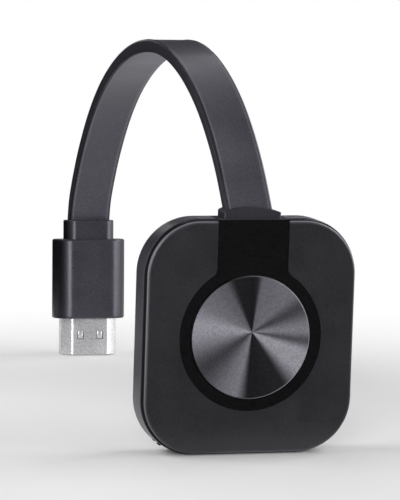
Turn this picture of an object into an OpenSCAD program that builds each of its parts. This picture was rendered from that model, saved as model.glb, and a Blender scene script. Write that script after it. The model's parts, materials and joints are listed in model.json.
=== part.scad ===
// Wireless screen adapter: a rounded square housing with a black keyhole inlay round a spun
// metal disc, on a short flat cable that arches back to its own video plug.
// Millimetres, +Z up, front face towards -Y. The origin is under the middle of the housing,
// on the surface that the housing's lower edge and the plug's tip both stand on.

/* [Body] */
// Width of the housing
body_w = 46.9; // [44:0.1:54]
// Height of the housing
body_h = 50.3; // [48:0.1:58]
// Thickness of the housing, front to back
body_t = 9.8; // [9.6:0.1:12]
// Radius of the housing's four corners
corner_r = 11.95; // [11:0.05:12.6]
// Rounding of the housing's back edge
back_r = 3; // [2.4:0.1:3]
// Rounding of the housing's front rim, behind the seam
rim_r = 0.3; // [0.15:0.05:0.35]
// Thickness of the housing's wall and back
wall = 1.4; // [1.3:0.05:1.5]

/* [Front cover] */
// Thickness of the cover's plate
plate_t = 1.4; // [1.2:0.1:1.6]
// Height of the cover's side, in front of the seam
cover_side = 0.95; // [0.9:0.05:1.1]
// Rounding of the cover's front edge
cover_r = 0.45; // [0.4:0.05:0.9]
// Step of the cover inside the housing's outline
cover_inset = 0.45; // [0.35:0.05:0.6]
// Width of the shadow seam between cover and housing
seam_w = 0.6; // [0.4:0.05:0.7]
// Depth of the shadow seam
seam_depth = 1; // [0.95:0.05:1.1]
// Reach of the cover's skirt into the housing
skirt_reach = 1.35; // [1.2:0.05:1.4]

/* [Inlay and disc] */
// Thickness of the black inlay
inlay_t = 0.7; // [0.5:0.05:0.75]
// Width of the black ring round the disc
ring_w = 2.45; // [1.6:0.05:2.8]
// Width of the inlay's strap
strap_w = 15.7; // [14.6:0.1:16.6]
// Fillet between the strap and the ring
fillet_r = 2; // [1:0.1:3]
// Length of the strap along the top of the housing
strap_wrap = 6.8; // [6.4:0.1:6.8]
// Radius of the metal disc
disc_r = 13.25; // [12:0.05:13.6]
// Chamfer on the rim of the disc
disc_chamfer = 0.15; // [0.05:0.05:0.25]

/* [Cable] */
// Width of the flat cable
cable_w = 10.2; // [9:0.1:10.8]
// Thickness of the flat cable
cable_t = 3; // [2.4:0.1:3.2]
// Width of the collar that the cable leaves
collar_w = 12.7; // [12.4:0.1:14]
// Depth of the collar, front to back
collar_t = 6.5; // [6.3:0.1:6.6]
// Height of the collar in its middle
collar_h = 2.3; // [2:0.1:2.8]
// Height of the collar at its two ends
collar_end_h = 1.3; // [0.8:0.1:1.6]

/* [Plug] */
// Width of the plug's grip
grip_w = 18; // [17.4:0.1:21]
// Thickness of the plug's grip
grip_t = 9.4; // [9:0.1:11]
// Length of the plug's grip
grip_l = 19.6; // [17:0.1:22]
// Radius of the grip's upright edges
grip_r = 4.4; // [2.5:0.1:4.4]
// Width of the strain relief neck
neck_w = 12.2; // [11.6:0.1:14]
// Thickness of the strain relief neck
neck_t = 6.6; // [5.6:0.1:7]
// Length of the strain relief neck
neck_l = 4.7; // [4:0.1:6]
// Length of metal shell that shows below the grip
shell_show = 8.9; // [8.5:0.1:12]

/* [Board] */
// Thickness of the circuit board
board_t = 1; // [0.8:0.1:1.2]
// Height of the board above the housing's inner floor
board_lift = 1.6; // [1.4:0.1:1.7]
// Gap between the board and the housing's wall
board_gap = 0.8; // [0.6:0.05:1]

/* [Reset key] */
// Place of the key round the lower left corner, in degrees
key_angle = 237; // [232:1:242]
// Radius of the key's round button
button_r = 0.5; // [0.4:0.05:0.55]
// Travel of the key
key_travel = 0.25; // [0.15:0.05:0.3]

/* [Hidden] */

over = 0.5;            // overrun of every cut
fine = 96;             // facets of large rounds
small = 32;            // facets of small rounds
fit_gap = 0.05;        // side clearance of fitted pieces

// Depths in the housing, counted towards the front from its middle
front_d = body_t/2;
back_d = -body_t/2;
seam_top_d = front_d - cover_side;
rim_d = seam_top_d - seam_w;
skirt_d = rim_d - skirt_reach;
plate_d = front_d - plate_t;
inlay_d = front_d - inlay_t;
wrap_d = front_d - strap_wrap;
floor_d = back_d + wall;
board_back_d = floor_d + board_lift;
board_d = board_back_d + board_t;

// Cover
rim_wall = seam_depth - fit_gap;
skirt_t = 0.8;
skirt_inset = seam_depth + skirt_t;
snap_side_l = 5;
snap_end_l = 3;
snap_h = 0.5;
snap_out = 0.3;
snap_gap = 0.1;
snap_depth_share = 0.5;            // of the skirt's reach
snap_side_shares = [0.34, 0.62];   // of the housing's height
snap_end_share = 0.215;            // of the housing's width, from its middle

// Inlay and disc
ring_r = disc_r + ring_w;
ring_z = body_h/2;
inlay_gap = 0.04;
strap_edge_r = 0.5;
disc_gap = 0.15;
adhesive_t = 0.15;
adhesive_edge = 0.8;
disc_t = inlay_t - adhesive_t;
fillet_x = strap_w/2 + fillet_r;
fillet_reach = ring_r + fillet_r;
fillet_z = ring_z + sqrt(pow(fillet_reach, 2) - pow(fillet_x, 2));

// Collar, with a throat through the housing's wall and a flange inside it
collar_set = 1.2;      // behind the housing's front face
collar_front_r = 0.4;
collar_back_r = 2.4;
collar_y = -front_d + collar_set;
collar_arch = collar_h - collar_end_h;
collar_arch_r = (pow(collar_w/2, 2) + pow(collar_arch, 2))/(2*collar_arch);
throat_edge = 0.65;
throat_gap = 0.1;      // between the throat and the cover's skirt
throat_w = collar_w - 2*throat_edge;
throat_front_d = skirt_d - throat_gap;
throat_back_d = back_d + back_r;
flange_edge = 0.85;
flange_h = 1.8;
flange_w = collar_w + 2*flange_edge;
flange_low = body_h - wall - flange_h;

// Circuit board
board_w = body_w - 2*(wall + board_gap);
board_h = body_h - 2*(wall + board_gap);
board_low = wall + board_gap;
board_r = corner_r - wall - board_gap;
notch_gap = 0.6;
notch_w = flange_w + 2*notch_gap;
notch_low = flange_low - notch_gap;
boss_r = 1.8;
boss_side_share = 0.38;            // of the board's width, from its middle
boss_shares = [0.26, 0.74];        // of the board's height
screw_r = 0.8;
screw_play = 0.05;
screw_head_r = 1.4;
screw_head_h = 0.9;
screw_bite = 0.7;      // into the housing's back
screw_slot_w = 0.4;
screw_slot_depth = 0.35;
wire_r = 0.3;
wire_count = 9;
wire_pitch = 1.2;
wire_land = 3;         // length of wire that lies on the board

// Parts on the board: width, height and thickness, then their places as shares of the board
processor_size = [12, 12, 1.2];
processor_shares = [0, 0.54];
pad_size = [10.5, 10.5, 0.6];
sink_size = [13, 16, 0.6];
sink_gap = 0.4;        // between the fins and the cover
fin_t = 0.6;
fin_count = 7;
memory_size = [7.5, 10.5, 1];
memory_gap = 1;        // beside the processor
memory_share = 0.52;
flash_size = [4, 5, 1.5];
flash_shares = [-0.25, 0.74];
wifi_size = [9.6, 12, 0.8];
wifi_gap = 1;          // beside the processor
wifi_share = 0.5;
shield_size = [8.4, 8.4, 1.5];
shield_edge = 0.6;
shield_wall = 0.2;
antenna_size = [0.25, 20, 2.4];
antenna_lift = 0.2;
antenna_share = 0.5;
lead_r = 0.4;
lead_plug_r = 1;
lead_plug_h = 0.9;
lead_plug_edge = 1.5;
crystal_size = [3.2, 2.5, 0.7];
crystal_shares = [0, 0.3];
inductor_size = [4, 4, 2];
inductor_shares = [[0.22, 0.16], [0.22, 0.29]];
capacitor_size = [1.6, 0.8, 0.8];
capacitor_shares = [[-0.1, 0.25], [-0.17, 0.25], [0.09, 0.25], [0.36, 0.16], [0.2, 0.78],
    [0.28, 0.78], [0.12, 0.82], [0, 0.82], [-0.12, 0.82], [-0.36, 0.16], [-0.17, 0.15]];

// Power socket in the lower edge
port_w = 7.5;
port_narrow_w = 5.6;
port_h = 2.65;
port_chamfer = 0.9;
port_l = 5;
port_wall = 0.3;
port_inset = 0.35;
port_cut_gap = 0.2;
port_back_l = 1.2;
tongue_w = 4.2;
tongue_h = 0.65;
tongue_inset = 0.6;
tongue_lift = 1.35;
port_contacts = 5;
port_contact_w = 0.35;
port_contact_t = 0.1;
port_pitch = 0.65;

// Reset key and status light, measured from the corner's axis out along the key
button_play = 0.06;
button_proud = 0.3;
button_flange_r = 0.75;
button_flange_t = 0.5;
button_flange_gap = 0.1;
hole_wall = 0.34;      // between the button's hole and the light's hole
pipe_r = 0.35;
pipe_play = 0.05;
pipe_proud = 0.15;
led_size = [1.6, 0.8, 0.8];
led_gap = 0.1;
plunger_w = 0.8;
plunger_h = 0.7;
plunger_l = 1;
plunger_out = 0.4;
plunger_play = 0.06;
plunger_low_gap = 0.15;
switch_l = 2.6;
switch_h = 1.7;
button_top = corner_r + button_proud;
button_low = corner_r - wall - button_flange_gap - button_flange_t;
plunger_low = button_low - plunger_l;
switch_top = button_low - plunger_out;
key_d = board_d + switch_h/2;
pipe_side = button_r + button_play + hole_wall + pipe_play + pipe_r;
pipe_d = board_d + led_size[2]/2;
switch_w = 2*(pipe_side - led_size[1]/2 - led_gap);

// Plug, measured from its tip up along its own axis
plug_reach = 133;      // behind the collar, along the cable's plane
plug_lean = 5.5;       // degrees from upright
shell_w = 13.9;
shell_t = 4.45;
shell_narrow_w = 9.1;
shell_side = 2.9;
shell_wall = 0.35;
shell_root = 6;        // length of shell inside the grip
window_w = 1.6;
window_h = 1.9;
window_pitch = 4.9;
window_z = 4.7;
insulator_inset = 0.6;
slot_w = 11.4;
slot_t = 1.5;
slot_l = 7.4;
contact_w = 0.5;
contact_t = 0.15;
contact_l = 6.6;
contact_pitch = 1;
contact_counts = [9, 10];
grip_edge_r = 0.5;
neck_r = 2.4;
neck_edge_r = 0.3;
neck_low = shell_show + grip_l;

// The cable's route: reach behind its start and height, in a plane turned a little to the
// right. It starts inside the collar and ends inside the neck.
cable_yaw = 1.4;
cable_start_y = -1;
cable_edge_r = 1.05;
cable_corner_steps = 2;
route = [[0.5, 51], [2, 52.8], [4.6, 55.9], [7.9, 59.5], [11.7, 63], [16.1, 66.5],
    [21.2, 70], [27.1, 73.3], [33.9, 76.3], [41.3, 78.8], [49.1, 80.6], [57, 81.6],
    [65, 81.7], [72.9, 81], [80.7, 79.7], [88.2, 77.7], [95.2, 75.2], [101.6, 72.3],
    [107.4, 69.1], [112.6, 65.6], [117.2, 61.9], [121.3, 58], [125, 53.9], [128.3, 49.8],
    [131.1, 45.7], [133.5, 41.7], [135.3, 38.1], [136.3, 35], [136.5, 33], [136.2, 31.6]];

// Plan frame of the housing: x right, y up, z towards the front
module plan() {
    rotate([90, 0, 0]) children();
}

// Rectangle on y = 0 with its own radius at the lower and at the upper corners
module rounded(w, h, low_r, high_r) {
    translate([-w/2, low_r]) square([w, h - low_r - high_r]);
    for (e = [[0, low_r, 1], [h, high_r, -1]], sx = [-1, 1]) {
        translate([sx*(w/2 - e[1]), e[0] + e[2]*e[1]]) circle(r = e[1], $fn = fine);
        translate([-w/2 + e[1], min(e[0], e[0] + e[2]*e[1])]) square([w - 2*e[1], e[1]]);
    }
}

// Band of a rounded edge, from a corner's axis out to radius r
module edge_band(r, e) {
    square([r - e, e]);
    intersection() {
        translate([r - e, e]) circle(r = e, $fn = fine);
        translate([r - e, 0]) square([e, e]);
    }
}

module edge_section(r, low, high, low_r, high_r) {
    translate([0, low + low_r]) square([r, high - low - low_r - high_r]);
    if (low_r > 0) translate([0, low]) edge_band(r, low_r);
    if (high_r > 0) translate([0, high]) mirror([0, 1]) edge_band(r, high_r);
}

// Block on y = 0 with round corners, and with rounded edges at its low and high faces
module pebble(w, h, r, low, high, low_r, high_r) {
    for (k = [0:3])
        translate([(k == 0 || k == 3 ? 1 : -1)*(w/2 - r), k < 2 ? h - r : r, 0])
            rotate([0, 0, 90*k]) {
                rotate_extrude(angle = 90, $fn = fine)
                    edge_section(r, low, high, low_r, high_r);
                rotate([90, 0, 0]) linear_extrude(k % 2 == 0 ? h - 2*r : w - 2*r)
                    edge_section(r, low, high, low_r, high_r);
            }
    translate([-w/2 + r, r, low]) cube([w - 2*r, h - 2*r, high - low]);
}

// Outline on y = 0 with chamfered lower corners, moved inwards by g
function chamfered(w, narrow_w, h, chamfer, g) =
    let (a = atan2((w - narrow_w)/2, chamfer),
        foot = narrow_w/2 - g*tan((90 - a)/2), side = chamfer + g*tan(a/2))
    [[-foot, g], [foot, g], [w/2 - g, side], [w/2 - g, h - g], [-w/2 + g, h - g],
        [-w/2 + g, side]];

// Ribs on the cover's skirt, or with a gap their pockets in the housing's rim
module snap_ribs(gap) {
    for (sx = [-1, 1]) {
        for (share = snap_side_shares)
            translate([sx*(body_w/2 - seam_depth), body_h*share,
                    skirt_d + skirt_reach*snap_depth_share])
                cube([2*(snap_out + gap), snap_side_l + 2*gap, snap_h + 2*gap], center = true);
        for (y = [seam_depth, body_h - seam_depth])
            translate([sx*body_w*snap_end_share, y, skirt_d + skirt_reach*snap_depth_share])
                cube([snap_end_l + 2*gap, 2*(snap_out + gap), snap_h + 2*gap], center = true);
    }
}

// Outline of the inlay: a strap that runs down from the top edge and widens into a ring
module keyhole(grow, top) {
    translate([0, ring_z]) circle(r = ring_r + grow, $fn = fine);
    translate([-strap_w/2 - grow, ring_z]) square([strap_w + 2*grow, top - ring_z]);
    for (sx = [-1, 1])
        difference() {
            polygon([[0, ring_z], [0, fillet_z], [sx*fillet_x, fillet_z],
                [sx*fillet_x*ring_r/fillet_reach,
                    ring_z + (fillet_z - ring_z)*ring_r/fillet_reach]]);
            translate([sx*fillet_x, fillet_z]) circle(r = fillet_r - grow, $fn = fine);
        }
}

module boss_places() {
    for (sx = [-1, 1], share = boss_shares)
        translate([sx*board_w*boss_side_share, board_low + board_h*share, 0]) children();
}

// Place on the board's front face, from shares of its width and height
module on_board(shares, lift = 0) {
    translate([board_w*shares[0], board_low + board_h*shares[1], board_d + lift]) children();
}

// Place on the board beside the processor, to its left with side -1 and to its right with 1
module beside_processor(side, gap, size, share, lift = 0) {
    translate([board_w*processor_shares[0] + side*(processor_size[0]/2 + gap + size[0]/2),
        board_low + board_h*share, board_d + lift]) children();
}

// Block on z = 0, centred in x and y
module slab(size) {
    translate([-size[0]/2, -size[1]/2, 0]) cube(size);
}

// Frame of the reset key: x out of the lower left corner, y round it, z to the front
module key_frame() {
    translate([-body_w/2 + corner_r, corner_r, 0]) rotate([0, 0, key_angle]) children();
}

// Round bar along the key's axis
module key_bar(from, to, r) {
    translate([from, 0, 0]) rotate([0, 90, 0]) cylinder(h = to - from, r = r, $fn = small);
}

// Frame of the plug: z up its axis from the tip, -y towards the housing
module plug_frame() {
    translate([0, cable_start_y, 0]) rotate([0, 0, -cable_yaw])
        translate([0, plug_reach, shell_t/2*sin(plug_lean)]) rotate([-plug_lean, 0, 0])
            children();
}

module plug_shell_block(low, high, g) {
    translate([0, -shell_t/2, low]) linear_extrude(high - low)
        polygon(chamfered(shell_w, shell_narrow_w, shell_t, shell_t - shell_side, g));
}

module port_block(low, high, g) {
    translate([0, high, board_d]) rotate([90, 0, 0]) linear_extrude(high - low)
        polygon(chamfered(port_w, port_narrow_w, port_h, port_chamfer, g));
}

module rear_housing() {
    color("#4b4b50") plan() difference() {
        union() {
            difference() {
                pebble(body_w, body_h, corner_r, back_d, rim_d, back_r, rim_r);
                translate([0, wall, 0])
                    pebble(body_w - 2*wall, body_h - 2*wall, corner_r - wall, floor_d,
                        rim_d + over, back_r - wall, 0);
                translate([0, rim_wall, skirt_d]) linear_extrude(skirt_reach + over)
                    rounded(body_w - 2*rim_wall, body_h - 2*rim_wall, corner_r - rim_wall,
                        corner_r - rim_wall);
            }
            boss_places() translate([0, 0, floor_d - wall/2])
                cylinder(h = board_lift + wall/2, r = boss_r, $fn = small);
        }
        boss_places() translate([0, 0, floor_d - screw_bite])
            cylinder(h = board_lift + screw_bite + over, r = screw_r + screw_play,
                $fn = small);
        snap_ribs(snap_gap);
        // seat of the strap along the top, and the slot that the collar's throat slides into
        translate([-strap_w/2 - inlay_gap, body_h - inlay_t - inlay_gap, wrap_d - inlay_gap])
            cube([strap_w + 2*inlay_gap, inlay_t + inlay_gap + over, strap_wrap + over]);
        translate([-strap_w/2 - inlay_gap, body_h - wall - over, skirt_d])
            cube([strap_w + 2*inlay_gap, wall + 2*over, skirt_reach + over]);
        translate([-throat_w/2 - fit_gap, body_h - wall - over, throat_back_d - fit_gap])
            cube([throat_w + 2*fit_gap, wall + 2*over, rim_d - throat_back_d + over]);
        port_block(-over, wall + over, -port_cut_gap);
        key_frame() {
            translate([0, 0, key_d])
                key_bar(corner_r - wall - over, corner_r + over, button_r + button_play);
            translate([0, -pipe_side, pipe_d])
                key_bar(corner_r - wall - over, corner_r + over, pipe_r + pipe_play);
        }
    }
}

module front_cover() {
    color("#2c2c2f") plan() difference() {
        union() {
            translate([0, cover_inset, 0])
                pebble(body_w - 2*cover_inset, body_h - 2*cover_inset,
                    corner_r - cover_inset, seam_top_d, front_d, 0, cover_r);
            translate([0, seam_depth, skirt_d]) linear_extrude(plate_d - skirt_d)
                rounded(body_w - 2*seam_depth, body_h - 2*seam_depth, corner_r - seam_depth,
                    corner_r - seam_depth);
            translate([0, seam_depth, plate_d]) linear_extrude(plate_t/2)
                rounded(body_w - 2*seam_depth, body_h - 2*seam_depth, corner_r - seam_depth,
                    corner_r - seam_depth);
            snap_ribs(0);
        }
        translate([0, skirt_inset, skirt_d - over]) linear_extrude(plate_d - skirt_d + over)
            rounded(body_w - 2*skirt_inset, body_h - 2*skirt_inset, corner_r - skirt_inset,
                corner_r - skirt_inset);
        // pocket of the inlay, and the step that lets its strap turn over the top
        translate([0, 0, inlay_d]) linear_extrude(inlay_t + over)
            keyhole(inlay_gap, body_h + over);
        translate([-strap_w/2 - inlay_gap, body_h - inlay_t - inlay_gap, skirt_d])
            cube([strap_w + 2*inlay_gap, inlay_t + inlay_gap + over, front_d - skirt_d + over]);
    }
}

module gloss_inlay() {
    color("#101012") plan() difference() {
        union() {
            translate([0, 0, inlay_d]) linear_extrude(inlay_t) keyhole(0, body_h);
            translate([-strap_w/2, body_h - inlay_t, wrap_d])
                cube([strap_w, inlay_t, strap_wrap]);
        }
        translate([0, ring_z, inlay_d - over])
            cylinder(h = inlay_t + 2*over, r = disc_r + disc_gap, $fn = fine);
        translate([-throat_w/2 - fit_gap, body_h - inlay_t - over, wrap_d - over])
            cube([throat_w + 2*fit_gap, inlay_t + 2*over,
                throat_front_d + fit_gap - wrap_d + over]);
        // rounded edge where the strap turns over the top
        translate([-strap_w/2 - over, body_h - strap_edge_r, front_d - strap_edge_r])
            rotate([90, 0, 90]) linear_extrude(strap_w + 2*over) difference() {
                square([strap_edge_r + over, strap_edge_r + over]);
                circle(r = strap_edge_r, $fn = small);
            }
    }
}

module spun_disc() {
    color("#8a8a90") plan() translate([0, ring_z, inlay_d + adhesive_t])
        rotate_extrude($fn = fine)
            polygon([[0, 0], [disc_r, 0], [disc_r, disc_t - disc_chamfer],
                [disc_r - disc_chamfer, disc_t], [0, disc_t]]);
}

module disc_adhesive() {
    color("#d8d2c0") plan() translate([0, ring_z, inlay_d])
        cylinder(h = adhesive_t, r = disc_r - adhesive_edge, $fn = fine);
}

module cable_collar() {
    color("#2a2a2d") {
        translate([0, collar_y, body_h]) intersection() {
            linear_extrude(collar_h)
                rounded(collar_w, collar_t, collar_front_r, collar_back_r);
            translate([0, -over, collar_h - collar_arch_r]) rotate([-90, 0, 0])
                cylinder(h = collar_t + 2*over, r = collar_arch_r, $fn = 2*fine);
        }
        plan() translate([-throat_w/2, flange_low + flange_h - fit_gap - over, throat_back_d])
            cube([throat_w, wall + fit_gap + 2*over, throat_front_d - throat_back_d]);
        plan() translate([-flange_w/2, flange_low, throat_back_d])
            cube([flange_w, flange_h - fit_gap, throat_front_d - throat_back_d]);
    }
}

// Flat cable: a rounded section swept along the route
module flat_cable() {
    across = [cos(cable_yaw), -sin(cable_yaw), 0];
    ahead = [sin(cable_yaw), cos(cable_yaw), 0];
    up = [0, 0, 1];
    last = len(route) - 1;
    section = [for (q = [0:3], k = [0:cable_corner_steps])
        let (a = 90*(q + k/cable_corner_steps), sx = q == 0 || q == 3 ? 1 : -1,
            sy = q < 2 ? 1 : -1)
        [sx*(cable_w/2 - cable_edge_r) + cable_edge_r*cos(a),
            sy*(cable_t/2 - cable_edge_r) + cable_edge_r*sin(a)]];
    sides = len(section);
    points = [for (i = [0:last])
        let (along = route[min(i + 1, last)] - route[max(i - 1, 0)],
            lie = along/norm(along),
            out = up*lie[0] - ahead*lie[1],
            middle = [0, cable_start_y, 0] + ahead*route[i][0] + up*route[i][1])
        for (p = section) middle + across*p[0] + out*p[1]];
    walls = [for (i = [0:last - 1], j = [0:sides - 1])
        let (a = i*sides + j, b = i*sides + (j + 1) % sides)
        for (f = [[a, b, b + sides], [a, b + sides, a + sides]]) f];
    color("#45464a") polyhedron(points, concat(walls,
        [[for (j = [sides - 1:-1:0]) j]], [[for (j = [0:sides - 1]) last*sides + j]]));
}

module cable_wires() {
    color("#c8b060") plan() for (i = [0:wire_count - 1])
        translate([wire_pitch*(i - (wire_count - 1)/2), notch_low - wire_land,
                board_d + wire_r])
            rotate([-90, 0, 0])
                cylinder(h = flange_low - notch_low + wire_land, r = wire_r, $fn = small);
}

module main_board() {
    color("#1f5a3a") plan() difference() {
        translate([0, board_low, board_back_d]) linear_extrude(board_t)
            rounded(board_w, board_h, board_r, board_r);
        translate([-notch_w/2, notch_low, board_back_d - over])
            cube([notch_w, body_h, board_t + 2*over]);
        boss_places() translate([0, 0, board_back_d - over])
            cylinder(h = board_t + 2*over, r = screw_r + screw_play, $fn = small);
    }
}

module board_screws() {
    color("#b8b8bc") plan() boss_places() difference() {
        union() {
            translate([0, 0, board_d]) cylinder(h = screw_head_h, r = screw_head_r, $fn = small);
            translate([0, 0, floor_d - screw_bite])
                cylinder(h = board_d - floor_d + screw_bite + screw_head_h/2, r = screw_r,
                    $fn = small);
        }
        for (a = [0, 90])
            translate([0, 0, board_d + screw_head_h - screw_slot_depth]) rotate([0, 0, a])
                slab([screw_head_r, screw_slot_w, screw_slot_depth + over]);
    }
}

module processor() {
    color("#26262a") plan() on_board(processor_shares) slab(processor_size);
}

module thermal_pad() {
    color("#8fa3b5") plan() on_board(processor_shares, processor_size[2]) slab(pad_size);
}

module heat_sink() {
    lift = processor_size[2] + pad_size[2];
    fin_h = plate_d - sink_gap - board_d - lift;
    color("#a8a8ac") plan() on_board(processor_shares, lift) {
        slab(sink_size);
        for (i = [0:fin_count - 1])
            translate([(sink_size[0] - fin_t)*(i/(fin_count - 1) - 1/2), 0, 0])
                slab([fin_t, sink_size[1], fin_h]);
    }
}

module memory_chip() {
    color("#26262a") plan() beside_processor(1, memory_gap, memory_size, memory_share)
        slab(memory_size);
}

module flash_chip() {
    color("#26262a") plan() on_board(flash_shares) slab(flash_size);
}

module wifi_board() {
    color("#1c4a70") plan() beside_processor(-1, wifi_gap, wifi_size, wifi_share)
        slab(wifi_size);
}

module wifi_shield() {
    color("#b4b4b8") plan()
        beside_processor(-1, wifi_gap, wifi_size, wifi_share, wifi_size[2])
        translate([0, (shield_size[1] - wifi_size[1])/2 + shield_edge, 0]) difference() {
            slab(shield_size);
            translate([0, 0, -over])
                slab([shield_size[0] - 2*shield_wall, shield_size[1] - 2*shield_wall,
                    shield_size[2] - shield_wall + over]);
        }
}

module antenna() {
    color("#c08a3a") plan() translate([-body_w/2 + wall,
            board_low + board_h*antenna_share - antenna_size[1]/2, board_d + antenna_lift])
        cube(antenna_size);
}

module antenna_lead() {
    lead_l = board_w*processor_shares[0] - processor_size[0]/2 - wifi_gap - wifi_size[0]/2
        + body_w/2 - wall - antenna_size[0];
    color("#303034") plan()
        beside_processor(-1, wifi_gap, wifi_size, wifi_share, wifi_size[2])
        translate([0, wifi_size[1]/2 - lead_plug_edge, 0]) {
            cylinder(h = lead_plug_h, r = lead_plug_r, $fn = small);
            translate([0, 0, lead_plug_h/2]) rotate([0, -90, 0])
                cylinder(h = lead_l, r = lead_r, $fn = small);
        }
}

module crystal() {
    color("#c8c8cc") plan() on_board(crystal_shares) slab(crystal_size);
}

module inductors() {
    color("#5a5a60") plan() for (place = inductor_shares) on_board(place)
        slab(inductor_size);
}

module capacitors() {
    color("#b89868") plan() for (place = capacitor_shares) on_board(place)
        slab(capacitor_size);
}

module usb_shell() {
    color("#c4c4c8") plan() difference() {
        port_block(port_inset, port_inset + port_l, 0);
        port_block(port_inset - over, port_inset + port_l + over, port_wall);
    }
}

module usb_tongue() {
    color("#1c1c1e") plan() {
        port_block(port_inset + port_l - port_back_l, port_inset + port_l,
            port_wall + fit_gap);
        translate([-tongue_w/2, port_inset + tongue_inset, board_d + tongue_lift])
            cube([tongue_w, port_l - tongue_inset - port_back_l/2, tongue_h]);
    }
}

module usb_contacts() {
    color("#d0a850") plan() for (i = [0:port_contacts - 1])
        translate([port_pitch*(i - (port_contacts - 1)/2) - port_contact_w/2,
                port_inset + tongue_inset + port_contact_w,
                board_d + tongue_lift - port_contact_t])
            cube([port_contact_w, port_l - tongue_inset - port_back_l - port_contact_w,
                port_contact_t]);
}

module status_led() {
    color("#e8e8d8") plan() key_frame()
        translate([switch_top - led_size[0], -pipe_side - led_size[1]/2, board_d])
            cube(led_size);
}

module light_pipe() {
    color("#dfe6ea") plan() key_frame() translate([0, -pipe_side, pipe_d])
        key_bar(switch_top + led_gap, corner_r + pipe_proud, pipe_r);
}

module switch_housing() {
    color("#3a3a3e") plan() key_frame() difference() {
        translate([switch_top - switch_l, -switch_w/2, board_d])
            cube([switch_l, switch_w, switch_h]);
        translate([plunger_low - key_travel - plunger_low_gap, -plunger_w/2 - plunger_play,
                key_d - plunger_h/2 - plunger_play])
            cube([plunger_l + over, plunger_w + 2*plunger_play, plunger_h + 2*plunger_play]);
    }
}

module switch_plunger() {
    color("#e0dcd0") plan() key_frame()
        translate([plunger_low, -plunger_w/2, key_d - plunger_h/2])
            cube([plunger_l, plunger_w, plunger_h]);
}

module reset_button() {
    color("#202022") plan() key_frame() translate([0, 0, key_d]) {
        key_bar(button_low, button_low + button_flange_t, button_flange_r);
        key_bar(button_low + button_flange_t/2, button_top, button_r);
    }
}

module plug_neck() {
    color("#45464a") plug_frame() translate([0, -neck_t/2, 0])
        pebble(neck_w, neck_t, neck_r, neck_low, neck_low + neck_l, 0, neck_edge_r);
}

module plug_grip() {
    color("#45464a") plug_frame() difference() {
        translate([0, -grip_t/2, 0])
            pebble(grip_w, grip_t, grip_r, shell_show, neck_low, grip_edge_r, grip_edge_r);
        plug_shell_block(shell_show - over, shell_show + shell_root, -fit_gap);
    }
}

module plug_shell() {
    color("#d8d8dc") plug_frame() difference() {
        plug_shell_block(0, shell_show + shell_root, 0);
        plug_shell_block(-over, shell_show + shell_root + over, shell_wall);
        for (sx = [-1, 1])
            translate([sx*window_pitch/2 - window_w/2, -shell_t/2 - over,
                    window_z - window_h/2])
                cube([window_w, shell_wall + 2*over, window_h]);
    }
}

module plug_insulator() {
    color("#1a1a1c") plug_frame() difference() {
        plug_shell_block(insulator_inset, shell_show + shell_root, shell_wall + fit_gap);
        translate([-slot_w/2, -slot_t/2, insulator_inset - over])
            cube([slot_w, slot_t, slot_l + over]);
    }
}

module plug_contacts() {
    color("#d0a850") plug_frame() for (row = [0, 1], i = [0:contact_counts[row] - 1])
        translate([contact_pitch*(i - (contact_counts[row] - 1)/2) - contact_w/2,
                row == 0 ? -slot_t/2 : slot_t/2 - contact_t,
                insulator_inset + slot_l - contact_l])
            cube([contact_w, contact_t, contact_l]);
}

rear_housing();
front_cover();
gloss_inlay();
spun_disc();
disc_adhesive();
cable_collar();
flat_cable();
cable_wires();
main_board();
board_screws();
processor();
thermal_pad();
heat_sink();
memory_chip();
flash_chip();
wifi_board();
wifi_shield();
antenna();
antenna_lead();
crystal();
inductors();
capacitors();
usb_shell();
usb_tongue();
usb_contacts();
status_led();
light_pipe();
switch_housing();
switch_plunger();
reset_button();
plug_neck();
plug_grip();
plug_shell();
plug_insulator();
plug_contacts();
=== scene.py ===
import json
import math
import bmesh
import bpy
from mathutils import Matrix, Vector


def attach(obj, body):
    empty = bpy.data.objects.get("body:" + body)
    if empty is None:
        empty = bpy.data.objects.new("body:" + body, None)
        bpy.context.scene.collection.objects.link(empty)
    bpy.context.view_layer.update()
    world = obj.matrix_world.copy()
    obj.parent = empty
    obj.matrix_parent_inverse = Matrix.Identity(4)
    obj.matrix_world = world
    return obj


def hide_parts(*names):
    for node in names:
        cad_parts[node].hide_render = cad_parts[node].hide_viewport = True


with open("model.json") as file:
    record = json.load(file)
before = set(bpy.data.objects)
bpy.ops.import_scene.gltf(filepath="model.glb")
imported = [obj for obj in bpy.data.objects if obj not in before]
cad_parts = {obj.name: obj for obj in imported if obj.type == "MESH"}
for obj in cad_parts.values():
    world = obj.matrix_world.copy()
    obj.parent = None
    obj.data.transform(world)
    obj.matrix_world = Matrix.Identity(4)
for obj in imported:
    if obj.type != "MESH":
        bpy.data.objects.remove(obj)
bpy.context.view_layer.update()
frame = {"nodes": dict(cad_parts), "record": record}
mm = 0.001
print("frame loaded:", len(frame["nodes"]), "nodes")

# the camera as fitted to the photograph: place in metres, turns in degrees
view = {
    "lens": 259.2,
    "place": (-0.23837, -0.71872, 0.13765),
    "yaw": 17.607,
    "pitch": 7.136,
    "roll": 1.809,
}


def makeCamera():
    yaw, pitch, roll = (math.radians(view[k]) for k in ("yaw", "pitch", "roll"))
    ahead = Vector((math.sin(yaw) * math.cos(pitch), math.cos(yaw) * math.cos(pitch), -math.sin(pitch)))
    right = Vector((math.cos(yaw), -math.sin(yaw), 0))
    up = right.cross(ahead)
    right, up = math.cos(roll) * right + math.sin(roll) * up, math.cos(roll) * up - math.sin(roll) * right
    data = bpy.data.cameras.new("camera")
    data.lens = view["lens"]
    camera = bpy.data.objects.new("camera", data)
    bpy.context.collection.objects.link(camera)
    turn = Matrix((right, up, -ahead)).transposed().to_4x4()
    camera.matrix_world = Matrix.Translation(view["place"]) @ turn
    bpy.context.scene.camera = camera


makeCamera()

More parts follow.
